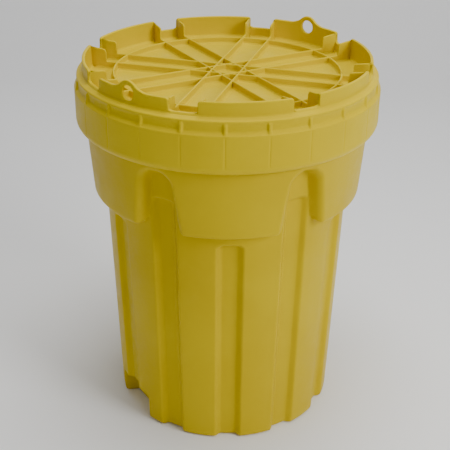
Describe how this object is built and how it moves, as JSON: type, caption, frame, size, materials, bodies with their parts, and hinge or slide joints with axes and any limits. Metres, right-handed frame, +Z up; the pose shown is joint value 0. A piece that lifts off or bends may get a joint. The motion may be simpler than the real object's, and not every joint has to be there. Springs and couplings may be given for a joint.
{
  "type": "overpack salvage drum",
  "caption": "Tapered screw-lid polyethylene overpack drum with lobed shoulder, vertical grooves, foot hand pockets, threaded neck, gasket and a castellated, ribbed lid.",
  "frame": {"origin": "centre of the drum's flat base, on the floor", "axes": "+Z up along the drum's axis; -Y is the side seen in front, with +X to its right"},
  "size_m": [0.573, 0.573, 0.7434],
  "materials": {
    "drum_polyethylene": "satin moulded yellow polyethylene with a fine mould texture",
    "lid_polyethylene": "satin moulded yellow polyethylene, slightly glossier than the drum",
    "gasket_rubber": "matt closed-cell sponge rubber"
  },
  "bodies": {
    "drum": {"drum_body": "drum_polyethylene"},
    "gasket_ring": {"lid_gasket": "gasket_rubber"},
    "lid": {"lid": "lid_polyethylene"}
  },
  "joints": [
    {"name": "lid_rise", "type": "slide", "parent": "drum", "child": "gasket_ring", "axis": [0, 0, 1], "range_m": [0, 0.1001]},
    {"name": "lid_turn", "type": "hinge", "parent": "gasket_ring", "child": "lid", "pos_m": [0, 0, 0], "axis": [0, 0, 1], "range_deg": [0, 750]}
  ],
  "couplings": [
    {"joint": "lid_rise", "follows": "lid_turn", "m_per_rad": 0.0076394}
  ]
}
